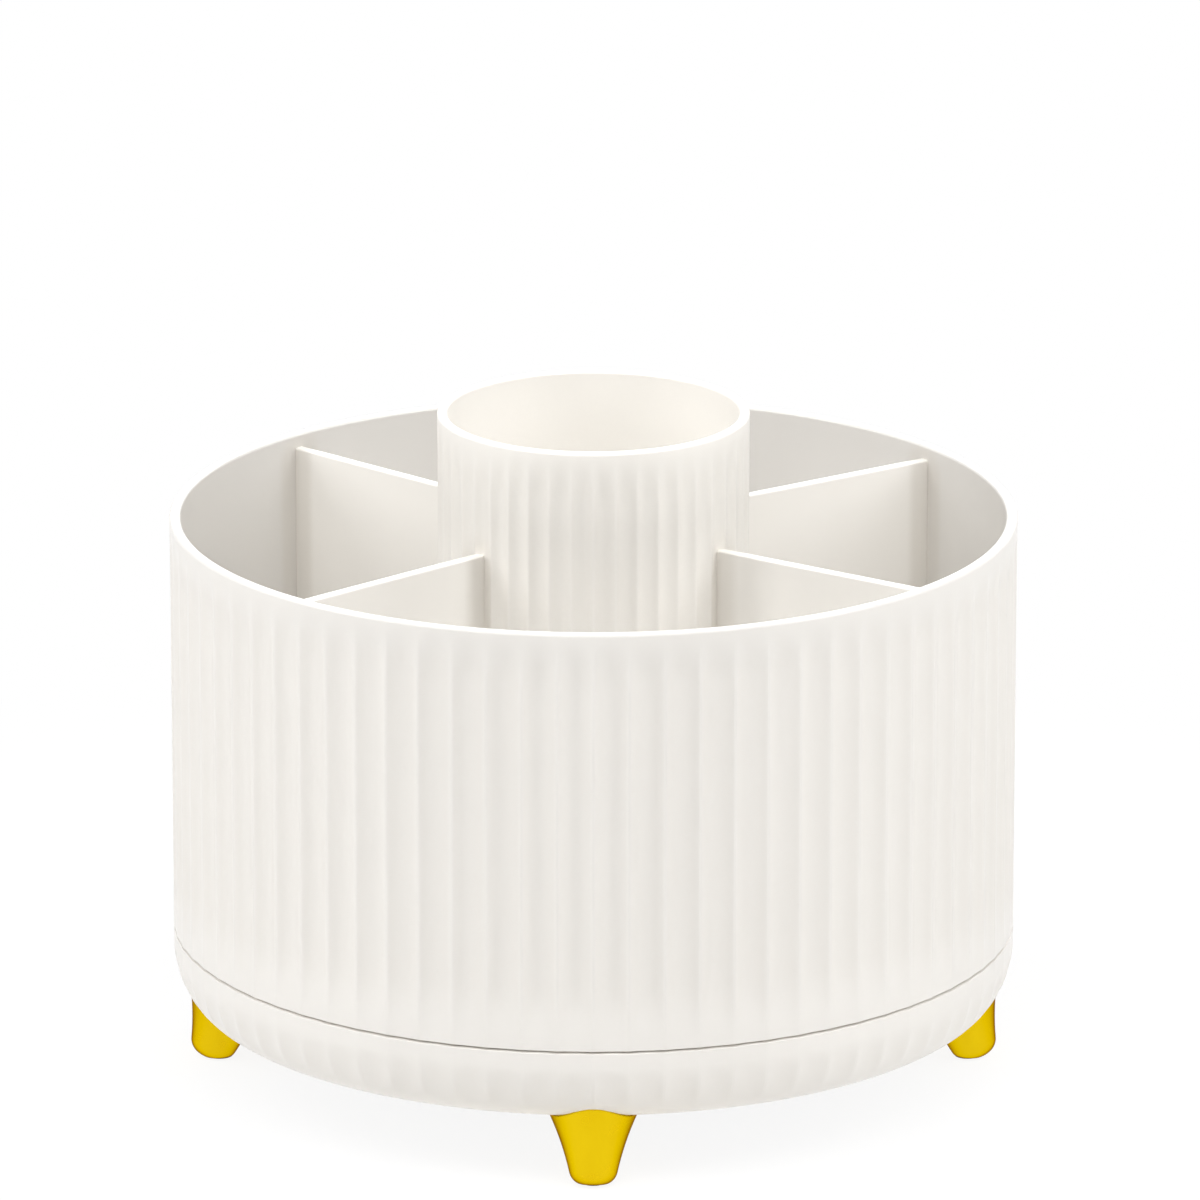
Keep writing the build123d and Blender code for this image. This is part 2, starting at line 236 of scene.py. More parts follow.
class DishSettings(bpy.types.PropertyGroup):
    """Shallow base dish."""

    wall: length("Wall", 1.9 * MM, "Wall inside the ridges")
    edge: length("Rim edge", 0.15 * MM, "Rounding of the rim at the seam")
    seam_depth: length("Seam depth", 0.3 * MM, "Depth of the seam in front of the rim's inner step")
    step: length("Rim step", 0.32 * MM, "Height of the step that the tub's skirt runs over")
    round_width: length("Round width", 7.5 * MM, "Width of the rounded lower edge")
    round_height: length("Round height", 11.3 * MM, "Height of the rounded lower edge")
    hub_wall: length("Hub wall", 3.0 * MM, "Wall of the hub")
    recess_radius: length("Recess radius", 10.5 * MM, "Recess in the hub, closed by the cap")
    recess_height: length("Recess height", 6.0 * MM, "Depth of that recess")
    hub_height: length("Hub height", 12.0 * MM, "Height of the hub from the underside")
    bush_radius: length("Bush radius", 6.57 * MM, "Bore that the bush fits in")
    rib: length("Race rib", 1.2 * MM, "Thickness of the rings that hold a race")
    rib_height: length("Rib height", 2.0 * MM, "Height of those rings")
    race_width: length("Race width", 12.0 * MM, "Width of a race between its rings")
    race_play: length("Race play", 0.1 * MM, "Gap between a race and a ring")


class FinishSettings(bpy.types.PropertyGroup):
    """Colours of the finishes."""

    white: colour("White", (0.732, 0.713, 0.683), "Warm white of the tub and the cap")
    white_shade: colour("White shade", (0.699, 0.677, 0.646), "Deeper white of their flow marks")
    # Painted light: a lighter copy of the tub's white, so the less lit dish renders about as light as the
    # tub
    dish: colour("Dish white", (0.745, 0.726, 0.696), "White of the dish")
    dish_shade: colour("Dish white shade", (0.714, 0.692, 0.661), "Deeper white of its flow marks")
    # Painted light: a much lighter copy of the tub's white, so the cup and dividers read brighter
    light: colour("Light white", (0.945, 0.920, 0.874), "Lighter white of the cup and the dividers")
    light_shade: colour("Light white shade", (0.912, 0.885, 0.836), "Deeper white of their flow marks")
    # Painted shade: the tone that occlusion masks darken seams, corners and flute feet towards
    painted_shade: colour("Crevice", (0.62, 0.575, 0.51), "Tone that settles in seams and corners")
    gold: colour("Gold", (0.82, 0.57, 0.006), "Plating of the feet")
    gold_shade: colour("Gold shade", (0.74, 0.48, 0.003), "Deeper gold where the plating is thicker")
    # Painted shade: the tone of the dark line painted where metal meets another part
    metal_painted_shade: colour("Metal painted shade", (0.16, 0.08, 0.01), "Brown line where metal meets another part")
    acetal: colour("Acetal", (0.74, 0.74, 0.72), "Natural plastic of the races, the cage and the bush")
    acetal_shade: colour("Acetal shade", (0.66, 0.66, 0.63), "Deeper tone of that plastic")
    steel: colour("Steel", (0.66, 0.66, 0.67), "Polished steel of the balls and the shaft")
    steel_shade: colour("Steel shade", (0.52, 0.52, 0.54), "Deeper tone of the polished steel")
    zinc: colour("Zinc", (0.60, 0.61, 0.63), "Zinc plating of the screws and the washer")
    zinc_shade: colour("Zinc shade", (0.46, 0.47, 0.50), "Bluish tone of the zinc plating")
    rubber: colour("Rubber", (0.62, 0.61, 0.58), "Pale rubber of the pads")
    rubber_shade: colour("Rubber shade", (0.50, 0.49, 0.46), "Deeper tone of the rubber")


class StageSettings(bpy.types.PropertyGroup):
    """Floor, lights and camera."""

    floor_colour: colour("Floor", (0.96, 0.955, 0.945), "Pale floor")
    floor_bounce: colour("Floor bounce", (0.88, 0.87, 0.855), "Share of light that the floor gives back")
    floor_glow: share("Floor glow", 0.9, "Plain white in the floor's shade")
    floor_radius: length("Floor radius", 9.0, "Radius of the floor")
    clear_radius: length("Clear radius", 0.26, "Distance beyond which the floor shows no shade")
    shade_radius: length("Shade radius", 0.09, "Distance within which the floor shows all of its shade")
    camera_distance: length("Camera distance", 2.08, "Distance from the camera to its aim")
    camera_elevation: angle("Camera elevation", 16.79, "Height of the camera above the horizon")
    aim_height: length("Aim height", 90.9 * MM, "Height of the point that the camera aims at")
    aim_shift: length("Aim shift", 1.23 * MM, "Sideways place of that point")
    lens: millimetres("Lens", 330.15, "Focal length of the camera")
    sensor: millimetres("Sensor", 36.0, "Width of the camera's sensor")
    clip_end: length("Clip end", 100.0, "Distance beyond which the camera sees nothing")
    sky: FloatProperty(name="Sky", description="Strength of the even studio light", default=0.08, min=0.0)
    lamp_aim: length("Lamp aim", 70.0 * MM, "Height on the axis that the lamps face")
    left_power: watts("Left lamp", 6.2, "Power of the left lamp")
    right_power: watts("Right lamp", 6.1, "Power of the right lamp")
    skim_power: watts("Skim lamps", 3.3, "Power of each lamp that skims a side")
    front_power: watts("Front lamp", 36.5, "Power of the high front lamp")
    rear_power: watts("Rear lamp", 13.5, "Power of the rear lamp")


class PenHolderSettings(bpy.types.PropertyGroup):
    """All settings of the pen holder."""

    flutes: PointerProperty(type=FluteSettings)
    tub: PointerProperty(type=TubSettings)
    cup: PointerProperty(type=CupSettings)
    dividers: PointerProperty(type=DividerSettings)
    dish: PointerProperty(type=DishSettings)
    finishes: PointerProperty(type=FinishSettings)
    stage: PointerProperty(type=StageSettings)


# Mesh building


def smooth_least(first, second, softness):
    """Smaller of two lengths, rounded where they meet."""
    weight = min(1.0, max(0.0, 0.5 + 0.5 * (second - first) / softness))
    return second + (first - second) * weight - softness * weight * (1.0 - weight)


def arc(centre, radius, start, end, steps, height=None):
    """Points of a round or oval arc in a half section, angles in degrees from outwards."""
    rise = radius if height is None else height
    points = []
    for step in range(steps + 1):
        turn = radians(start + (end - start) * step / steps)
        points.append((centre[0] + radius * cos(turn), centre[1] + rise * sin(turn)))
    return points


def spread(first, last, count):
    """Points between two points of a half section, both left out."""
    return [
        tuple(a + (b - a) * step / (count + 1) for a, b in zip(first, last)) for step in range(1, count + 1)
    ]


def flute_columns(radius, count, depth, land, softness):
    """Angles round the axis with the depth of the flutes at each, closer together at the ridges."""
    pitch = tau / count
    land_angle = land / radius
    soft_angle = softness / radius
    flute_angle = pitch - land_angle
    half_chord = radius * sin(flute_angle / 2)
    sag = depth - radius * (1 - cos(flute_angle / 2))
    if flute_angle <= soft_angle or sag <= 0.0:
        raise ValueError("the lands or the depth leave no room for flutes")
    flute_radius = (half_chord**2 + sag**2) / (2 * sag)
    flute_centre = radius - depth + flute_radius
    places = [0.0, land_angle / 2 - soft_angle / 2, land_angle / 2 + soft_angle / 2]
    places += [land_angle / 2 + flute_angle * step / FLUTE_STEPS for step in range(1, FLUTE_STEPS)]
    places += [pitch - place for place in reversed(places[1:3])]

    def drop_at(place):
        """Depth of the flute at an angle from the ridge's middle."""
        beside = place - pitch / 2
        if abs(beside) >= flute_angle / 2:
            return 0.0
        across = radius * sin(beside)
        reach = flute_centre - sqrt(max(0.0, flute_radius**2 - across**2))
        return max(0.0, radius - sqrt(reach**2 + across**2))

    return [(index * pitch + place, drop_at(place)) for index in range(count) for place in places]


def lathe(name, rows, columns, softness, closed):
    """Mesh turned from rows of radius, height and flute share, cut back by the flutes of each column.

    A closed row list joins its last row to its first; an open one starts and ends on the axis.
    """
    verts = []
    rings = []
    for radius, height, cut in rows:
        if radius == 0.0:
            rings.append([len(verts)])
            verts.append((0.0, 0.0, height))
            continue
        ring = []
        for turn, drop in columns:
            shown = radius
            if cut > 0.0:
                shown = smooth_least(radius, radius - drop * cut, softness * cut)
            ring.append(len(verts))
            verts.append((shown * cos(turn), shown * sin(turn), height))
        rings.append(ring)
    pairs = list(zip(rings, rings[1:]))
    if closed:
        pairs.append((rings[-1], rings[0]))
    faces = []
    count = len(columns)
    for lower, upper in pairs:
        for here in range(count):
            there = (here + 1) % count
            if len(lower) == 1:
                faces.append((lower[0], upper[there], upper[here]))
            elif len(upper) == 1:
                faces.append((lower[here], lower[there], upper[0]))
            else:
                faces.append((lower[here], lower[there], upper[there], upper[here]))
    return new_piece(name, verts, faces)


def new_piece(name, verts, faces):
    """Smooth mesh object with even normals."""
    mesh = bpy.data.meshes.new(name)
    mesh.from_pydata(verts, [], faces)
    if mesh.validate():
        raise RuntimeError(f"the mesh of {name} has faults")
    mesh.shade_smooth()
    piece = bpy.data.objects.new(name, mesh)
    bpy.context.scene.collection.objects.link(piece)
    even = piece.modifiers.new("even normals", "WEIGHTED_NORMAL")
    even.weight = NORMAL_WEIGHT
    even.keep_sharp = True
    return piece


def fluted(points, cut=1.0):
    """Rows that the flutes cut, at a share of their depth."""
    return [(radius, height, cut) for radius, height in points]


def plain(points):
    """Rows that the flutes leave as they are."""
    return fluted(points, 0.0)


def eased(along):
    """Smooth step from nothing to all."""
    along = min(1.0, max(0.0, along))
    return along * along * (3 - 2 * along)


def faded(ridge, low, high, low_cut, high_cut, steps):
    """Rows up a wall between two shares of the flutes' depth, both ends left out."""
    rows = []
    for step in range(1, steps):
        along = step / steps
        rows.append((ridge, low + (high - low) * along, low_cut + (high_cut - low_cut) * eased(along)))
    return rows


def fluted_wall(ridge, low, lip_low, foot_cut, foot_fade, lip_fade):
    """Rows up a wall whose flutes deepen from its foot and run out under its lip, both ends left out."""
    full_low = (ridge, low + foot_fade)
    full_high = (ridge, lip_low - lip_fade)
    rows = faded(ridge, low, full_low[1], foot_cut, 1.0, FOOT_FADE_STEPS)
    rows += fluted([full_low] + spread(full_low, full_high, WALL_STEPS) + [full_high])
    rows += faded(ridge, full_high[1], lip_low, 1.0, 0.0, LIP_FADE_STEPS)
    return rows


def lip_rows(lip_radius, inner_radius, low, top, lip_round):
    """Rows over a rounded lip, from its outside down to the inside."""
    outer = arc((lip_radius - lip_round, top - lip_round), lip_round, 0, 90, CORNER_STEPS)
    inner = arc((inner_radius + lip_round, top - lip_round), lip_round, 90, 180, CORNER_STEPS)
    return plain([(lip_radius, low)] + outer + inner)


def dress(piece, node, material):
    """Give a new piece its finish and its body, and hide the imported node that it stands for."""
    piece.data.materials.append(material)
    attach(piece, BODY_OF_NODE[node])
    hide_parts(node)


def finish_nodes(nodes, material):
    """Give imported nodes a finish."""
    for node in nodes:
        slots = frame["nodes"][node].material_slots
        if not slots:
            raise RuntimeError(f"{node} has no place for a finish")
        for slot in slots:
            slot.material = material


# Shader building


def add(tree, kind, inputs=None, **settings):
    """Add a node, set its settings, and set or link its inputs."""
    node = tree.nodes.new(kind)
    for key, value in settings.items():
        setattr(node, key, value)
    for key, value in (inputs or {}).items():
        if isinstance(value, bpy.types.NodeSocket):
            tree.links.new(value, node.inputs[key])
        else:
            node.inputs[key].default_value = value
    return node


def blend_colour(tree, factor, first, second):
    """Mix of two colours by a factor, each a socket or a value."""
    names = {"factor": 0, "first": 6, "second": 7}
    node = add(tree, "ShaderNodeMix", data_type="RGBA")
    for key, value in (("factor", factor), ("first", first), ("second", second)):
        socket = node.inputs[names[key]]
        if isinstance(value, bpy.types.NodeSocket):
            tree.links.new(value, socket)
        elif key == "factor":
            socket.default_value = value
        else:
            socket.default_value = (*value, 1.0)
    return node.outputs[2]


def spread_value(tree, value, low, high):
    """Map a mask from 0 to 1 onto a range."""
    node = add(tree, "ShaderNodeMapRange", {"Value": value, "To Min": low, "To Max": high})
    return node.outputs["Result"]


def new_group(name, inputs, outputs):
    """Empty shader node group with float inputs and outputs."""
    tree = bpy.data.node_groups.new(name, "ShaderNodeTree")
    for key, default in inputs.items():
        socket = tree.interface.new_socket(name=key, in_out="INPUT", socket_type="NodeSocketFloat")
        socket.default_value = default
    for key in outputs:
        tree.interface.new_socket(name=key, in_out="OUTPUT", socket_type="NodeSocketFloat")
    return tree, tree.nodes.new("NodeGroupInput"), tree.nodes.new("NodeGroupOutput")


def over_one(tree, value):
    """Noise scale for a feature size."""
    return add(tree, "ShaderNodeMath", {0: 1.0, 1: value}, operation="DIVIDE").outputs[0]


def moulding_grain_group():
    """Fine spark-eroded grain and the slow tone of plastic that flowed up a mould."""
    name = "Moulding Grain"
    if name in bpy.data.node_groups:
        return bpy.data.node_groups[name]
    tree, given, made = new_group(name, {"Grain Size": 0.5 * MM, "Flow Size": 30.0 * MM}, ["Grain", "Flow"])
    place = add(tree, "ShaderNodeTexCoord").outputs["Object"]
    grain = add(
        tree,
        "ShaderNodeTexNoise",
        {
            "Vector": place,
            "Scale": over_one(tree, given.outputs["Grain Size"]),
            "Detail": 3.0,
            "Roughness": 0.6,
        },
    )
    stretched = add(tree, "ShaderNodeMapping", {"Vector": place, "Scale": FLOW_STRETCH})
    flow = add(
        tree,
        "ShaderNodeTexNoise",
        {
            "Vector": stretched.outputs["Vector"],
            "Scale": over_one(tree, given.outputs["Flow Size"]),
            "Detail": 4.0,
            "Roughness": 0.55,
        },
    )
    evened = add(
        tree, "ShaderNodeMapRange", {"Value": flow.outputs["Fac"], "From Min": 0.3, "From Max": 0.7}
    )
    tree.links.new(grain.outputs["Fac"], made.inputs["Grain"])
    tree.links.new(evened.outputs["Result"], made.inputs["Flow"])
    return tree


def handling_group():
    """Soft smudges and short rubs left by hands."""
    name = "Handling Marks"
    if name in bpy.data.node_groups:
        return bpy.data.node_groups[name]
    tree, given, made = new_group(name, {"Mark Size": 9.0 * MM, "Cover": 0.5}, ["Marks"])
    place = add(tree, "ShaderNodeTexCoord").outputs["Object"]
    smudge = add(
        tree,
        "ShaderNodeTexNoise",
        {
            "Vector": place,
            "Scale": over_one(tree, given.outputs["Mark Size"]),
            "Detail": 2.0,
            "Roughness": 0.5,
        },
    )
    low = add(tree, "ShaderNodeMath", {0: 0.75, 1: given.outputs["Cover"]}, operation="SUBTRACT").outputs[0]
    shown = add(
        tree,
        "ShaderNodeMapRange",
        {"Value": smudge.outputs["Fac"], "From Min": low, "From Max": 0.8},
        interpolation_type="SMOOTHSTEP",
    )
    tree.links.new(shown.outputs["Result"], made.inputs["Marks"])
    return tree


def painted_shade_group():
    """Masks of painted shade from ambient occlusion: one for tight seams and corners, one for flute feet
    and joints.
    """
    name = "Crevices"
    if name in bpy.data.node_groups:
        return bpy.data.node_groups[name]
    reaches = {"Reach": 2.0 * MM, "Hollow Reach": 5.0 * MM}
    tree, given, made = new_group(name, reaches, ["Crevice", "Hollow"])

    def openness(reach):
        """Share of open space within a reach."""
        distance = {"Distance": given.outputs[reach]}
        return add(tree, "ShaderNodeAmbientOcclusion", distance, samples=HOLLOW_SAMPLES).outputs["AO"]

    # Painted shade: both masks come from ambient occlusion, so they darken where nearby surfaces shade
    shut = add(
        tree,
        "ShaderNodeMapRange",
        {"Value": openness("Reach"), "From Min": 0.75, "From Max": 0.15},
        interpolation_type="SMOOTHSTEP",
    )
    hollow = add(
        tree, "ShaderNodeMapRange", {"Value": openness("Hollow Reach"), "From Min": 1.0, "From Max": 0.94}
    )
    tree.links.new(shut.outputs["Result"], made.inputs["Crevice"])
    tree.links.new(hollow.outputs["Result"], made.inputs["Hollow"])
    return tree


def place_group(tree, group, **values):
    """Place a node group in a material with its own values."""
    node = tree.nodes.new("ShaderNodeGroup")
    node.node_tree = group
    for key, value in values.items():
        node.inputs[key.replace("_", " ").title()].default_value = value
    return node


def new_finish(name, **settings):
    """Empty material with a Principled shader whose own sockets hold its even values."""
    material = bpy.data.materials.new(name)
    material.use_nodes = True
    tree = material.node_tree
    tree.nodes.clear()
    shader = tree.nodes.new("ShaderNodeBsdfPrincipled")
    for key, value in settings.items():
        shader.inputs[key.replace("_", " ").title().replace("Ior", "IOR")].default_value = value
    output = tree.nodes.new("ShaderNodeOutputMaterial")
    tree.links.new(shader.outputs["BSDF"], output.inputs["Surface"])
    return material, tree, shader


def set_bump(tree, shader, height, strength, distance):
    """Feed a height to the shader's normal."""
    bump = add(tree, "ShaderNodeBump", {"Height": height, "Strength": strength, "Distance": distance})
    tree.links.new(bump.outputs["Normal"], shader.inputs["Normal"])


def tones_of(tone):
    """A finish's colour and its deeper shade."""
    finishes = bpy.context.scene.pen_holder.finishes
    return getattr(finishes, tone), getattr(finishes, f"{tone}_shade")


def moulded_finish(name, tone, roughness, grain, **settings):
    """Moulded plastic or rubber: flow tone, handling marks, painted shade in seams, corners and flute feet,
    and a fine grain.
    """
    if name in bpy.data.materials:
        return bpy.data.materials[name]
    base, shade = tones_of(tone)
    painted_shade = bpy.context.scene.pen_holder.finishes.painted_shade
    material, tree, shader = new_finish(name, **settings)
    moulding = place_group(tree, moulding_grain_group(), grain_size=grain, flow_size=30.0 * MM)
    handling = place_group(tree, handling_group(), mark_size=12.0 * MM, cover=0.45)
    shut = place_group(tree, painted_shade_group(), reach=0.8 * MM, hollow_reach=5.0 * MM)
    flow_share = spread_value(tree, moulding.outputs["Flow"], 0.0, PLASTIC_FLOW)
    flowed = blend_colour(tree, flow_share, base, shade)
    # Painted shade: flute feet, tight seams and corners are darkened towards the painted shade tone
    hollow_shade_share = spread_value(tree, shut.outputs["Hollow"], 0.0, PLASTIC_HOLLOW_SHADE)
    dulled = blend_colour(tree, hollow_shade_share, flowed, painted_shade)
    seam_shade_share = spread_value(tree, shut.outputs["Crevice"], 0.0, PLASTIC_SEAM_SHADE)
    tree.links.new(blend_colour(tree, seam_shade_share, dulled, painted_shade), shader.inputs["Base Color"])
    rubbed = spread_value(tree, handling.outputs["Marks"], roughness, roughness - PLASTIC_POLISH)
    tree.links.new(rubbed, shader.inputs["Roughness"])
    set_bump(tree, shader, moulding.outputs["Grain"], PLASTIC_BUMP, BUMP_HEIGHT)
    return material


def metal_finish(name, tone, roughness, mark_size, **settings):
    """Plated or polished metal: a slow tone, dark lines of painted shade at joints, dull smudges and a
    faint waviness.
    """
    if name in bpy.data.materials:
        return bpy.data.materials[name]
    base, shade = tones_of(tone)
    painted_shade = bpy.context.scene.pen_holder.finishes.metal_painted_shade
    material, tree, shader = new_finish(name, metallic=1.0, **settings)
    plating = place_group(tree, moulding_grain_group(), grain_size=0.9 * MM, flow_size=6.0 * MM)
    handling = place_group(tree, handling_group(), mark_size=mark_size, cover=0.4)
    shut = place_group(tree, painted_shade_group(), reach=0.5 * MM, hollow_reach=0.6 * MM)
    tone_share = spread_value(tree, plating.outputs["Flow"], 0.0, METAL_FLOW)
    plated = blend_colour(tree, tone_share, base, shade)
    # Painted shade: a dark line is painted where the metal meets another part, standing for its shadow
    seam_shade_share = spread_value(tree, shut.outputs["Hollow"], 0.0, METAL_JOINT_SHADE)
    tree.links.new(blend_colour(tree, seam_shade_share, plated, painted_shade), shader.inputs["Base Color"])
    dulled = spread_value(tree, handling.outputs["Marks"], roughness, roughness + METAL_DULLING)
    tree.links.new(dulled, shader.inputs["Roughness"])
    set_bump(tree, shader, plating.outputs["Grain"], METAL_BUMP, BUMP_HEIGHT)
    return material


def satin_moulding(tone):
    """Satin plastic in one of the three whites: white, light or dish; light and dish are lighter copies of
    white that paint in light.
    """
    return moulded_finish(f"{tone}_moulding", tone, roughness=0.32, grain=0.45 * MM, ior=1.49)


def gold_plating():
    """Yellow gold plating whose edges go deep."""
    edge_tint = (0.25, 0.13, 0.01, 1.0)
    return metal_finish(
        "satin_gold_plate", "gold", roughness=0.2, mark_size=5.0 * MM, specular_tint=edge_tint
    )


def acetal():
    """Smooth natural acetal."""
    return moulded_finish("natural_acetal", "acetal", roughness=0.35, grain=0.3 * MM, ior=1.48)


def polished_steel():
    """Ground and polished steel."""
    return metal_finish("polished_steel", "steel", roughness=0.12, mark_size=4.0 * MM)


def zinc_plating():
    """Bluish zinc plating on screws."""
    return metal_finish("zinc_plating", "zinc", roughness=0.3, mark_size=3.0 * MM)


def pad_rubber():
    """Pale soft rubber."""
    return moulded_finish("pale_pad_rubber", "rubber", roughness=0.8, grain=0.25 * MM)


# Pieces


def tub_rows(tub, flutes, dish):
    """Half section of the tub: from its bore along the underside, up the wall and over to the floor."""
    ridge = TUB_RADIUS
    inner = ridge - tub.wall
    floor = TUB_UNDERSIDE + tub.floor
    skirt = DISH_HIGH.z + tub.seam
    top = TUB_HIGH.z
    race_outer = RACE_RADIUS + dish.race_play
    race_inner = RACE_RADIUS - dish.race_width - dish.race_play
    rib_low = TUB_UNDERSIDE - dish.rib_height
    rows = plain(
        [
            (tub.bore_radius, TUB_LOW.z),
            (tub.hub_radius, TUB_LOW.z),
            (tub.hub_radius, TUB_UNDERSIDE),
            (race_inner - dish.rib, TUB_UNDERSIDE),
            (race_inner - dish.rib, rib_low),
            (race_inner, rib_low),
            (race_inner, TUB_UNDERSIDE),
            (race_outer, TUB_UNDERSIDE),
            (race_outer, rib_low),
            (race_outer + dish.rib, rib_low),
            (race_outer + dish.rib, TUB_UNDERSIDE),
            (inner, TUB_UNDERSIDE),
        ]
    )
    rows += plain(arc((inner + tub.edge, skirt + tub.edge), tub.edge, 180, 270, EDGE_STEPS))
    skirt_edge = arc((ridge - tub.edge, skirt + tub.edge), tub.edge, -90, 0, EDGE_STEPS)
    rows += fluted(skirt_edge, flutes.seam_share)
    rows += fluted_wall(
        ridge, skirt + tub.edge, top - tub.lip, flutes.seam_share, flutes.foot_fade, flutes.lip_fade
    )
    rows += lip_rows(ridge, inner, top - tub.lip, top, tub.lip_round)
    low = (inner, floor + tub.corner)
    rows += plain(spread((inner, top - tub.lip_round), low, TUB_INSIDE_STEPS))
    rows += plain(arc((inner - tub.corner, floor + tub.corner), tub.corner, 0, -90, CORNER_STEPS))
    cup_edge = CUP_HIGH.x + tub.seat_play
    rows += plain(spread((inner - tub.corner, floor), (cup_edge, floor), FLOOR_STEPS))
    rows += plain([(cup_edge, floor), (cup_edge, floor - tub.seat), (tub.bore_radius, floor - tub.seat)])
    return rows, ridge


class PENHOLDER_OT_tub_shell(bpy.types.Operator):
    """Build the fluted turning tub with its lip, floor and underside"""

    bl_idname = "penholder.tub_shell"
    bl_label = "Tub Shell"

    def execute(self, context):
        settings = context.scene.pen_holder
        flutes = settings.flutes
        rows, ridge = tub_rows(settings.tub, flutes, settings.dish)
        columns = flute_columns(ridge, flutes.tub_count, flutes.tub_depth, flutes.tub_land, flutes.softness)
        piece = lathe("fluted_tub", rows, columns, flutes.cut_softness, True)
        dress(piece, "tub_shell", satin_moulding("white"))
        return {"FINISHED"}


def cup_rows(cup, flutes):
    """Half section of the cup: from the pocket in its underside, up the wall and over to the floor."""
    ridge = CUP_HIGH.x
    inner = ridge - cup.wall
    base = CUP_LOW.z
    floor = base + cup.floor
    top = CUP_HIGH.z
    flat_radius = ridge - 3 * cup.edge - flutes.cup_depth
    rows = plain(
        [
            (0.0, base + cup.pocket_depth),
            (cup.pocket_radius, base + cup.pocket_depth),
            (cup.pocket_radius, base),
            (flat_radius, base),
        ]
    )
    rows += fluted(arc((ridge - cup.edge, base + cup.edge), cup.edge, -90, 0, EDGE_STEPS))
    rows += fluted_wall(ridge, base + cup.edge, top - cup.lip, 1.0, cup.floor, flutes.lip_fade)
    rows += lip_rows(ridge, inner, top - cup.lip, top, cup.lip_round)
    low = (inner, floor + cup.corner)
    rows += plain(spread((inner, top - cup.lip_round), low, CUP_INSIDE_STEPS))
    rows += plain(arc((inner - cup.corner, floor + cup.corner), cup.corner, 0, -90, CORNER_STEPS))
    rows += plain(spread((inner - cup.corner, floor), (0.0, floor), FLOOR_STEPS))
    rows += [(0.0, floor, 0.0)]
    return rows, ridge


class PENHOLDER_OT_center_cup(bpy.types.Operator):
    """Build the fluted cup in the middle of the tub"""

    bl_idname = "penholder.center_cup"
    bl_label = "Centre Cup"

    def execute(self, context):
        settings = context.scene.pen_holder
        flutes = settings.flutes
        rows, ridge = cup_rows(settings.cup, flutes)
        columns = flute_columns(ridge, flutes.cup_count, flutes.cup_depth, flutes.cup_land, flutes.softness)
        piece = lathe("fluted_cup", rows, columns, flutes.cut_softness, False)
        # Painted light: the cup takes the lighter copy of the white
        dress(piece, "center_cup", satin_moulding("light"))
        return {"FINISHED"}


def divider_section(dividers, floor):
    """Outline across a panel: flared foot, straight sides and rounded top."""
    half = dividers.thickness / 2
    flare = dividers.foot_round
    shoulder = DIVIDER_TOP - dividers.top_round
    side = arc((half + flare, floor + flare), flare, 270, 180, PANEL_ROUND_STEPS)
    side += spread((half, floor + flare), (half, shoulder), PANEL_SIDE_STEPS)
    side += arc((half - dividers.top_round, shoulder), dividers.top_round, 0, 90, PANEL_ROUND_STEPS)
    return side + [(-x, y) for x, y in reversed(side)]


def panel_reach(across, rise, wall, corner):
    """Distance from the axis at which a panel meets the tub's wall or its rounded floor corner."""
    reach = sqrt(wall**2 - across**2)
    if rise < corner:
        reach -= corner - sqrt(max(0.0, corner**2 - (corner - rise) ** 2))
    return reach


def panel_mesh(turn, section, floor, start, wall, corner):
    """Points and faces of a panel that stands along one direction from the axis, closed at both ends."""
    verts = []
    for station in range(PANEL_STATIONS + 1):
        for across, height in section:
            reach = panel_reach(across, height - floor, wall, corner)
            along = start + (reach - start) * station / PANEL_STATIONS
            x = along * cos(turn) - across * sin(turn)
            y = along * sin(turn) + across * cos(turn)
            verts.append((x, y, height))
    count = len(section)
    faces = [tuple(reversed(range(count)))]
    for station in range(PANEL_STATIONS):
        here = station * count
        there = here + count
        for index in range(count):
            after = (index + 1) % count
            faces.append((here + index, here + after, there + after, there + index))
    faces.append(tuple(range(PANEL_STATIONS * count, (PANEL_STATIONS + 1) * count)))
    return verts, faces


class PENHOLDER_OT_dividers(bpy.types.Operator):
    """Build the flat panels that divide the ring round the cup"""

    bl_idname = "penholder.dividers"
    bl_label = "Dividers"

    def execute(self, context):
        settings = context.scene.pen_holder
        floor = TUB_UNDERSIDE + settings.tub.floor
        start = CUP_HIGH.x - settings.dividers.key
        wall = TUB_RADIUS - settings.tub.wall
        section = divider_section(settings.dividers, floor)
        for node in DIVIDER_NODES:
            low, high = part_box(node)
            middle = (low + high) / 2
            turn = atan2(middle.y, middle.x)
            verts, faces = panel_mesh(turn, section, floor, start, wall, settings.tub.corner)
            piece = new_piece(node.replace("divider", "panel"), verts, faces)
            piece.data.set_sharp_from_angle(angle=PANEL_SHARP_ANGLE)
            # Painted light: the panels take the lighter copy of the white
            dress(piece, node, satin_moulding("light"))
        return {"FINISHED"}


def dish_cuts(flutes, count):
    """Shares of the flutes' depth up the dish's rounding: none below, most higher up, little at the top."""
    cuts = []
    for step in range(count):
        along = step / (count - 1)
        rise = eased((along - DISH_RISE_START) / DISH_RISE_SPAN)
        fall = eased((along - DISH_FALL_START) / DISH_FALL_SPAN)
        cuts.append(flutes.dish_share * rise + (flutes.seam_share - flutes.dish_share) * fall)
    return cuts


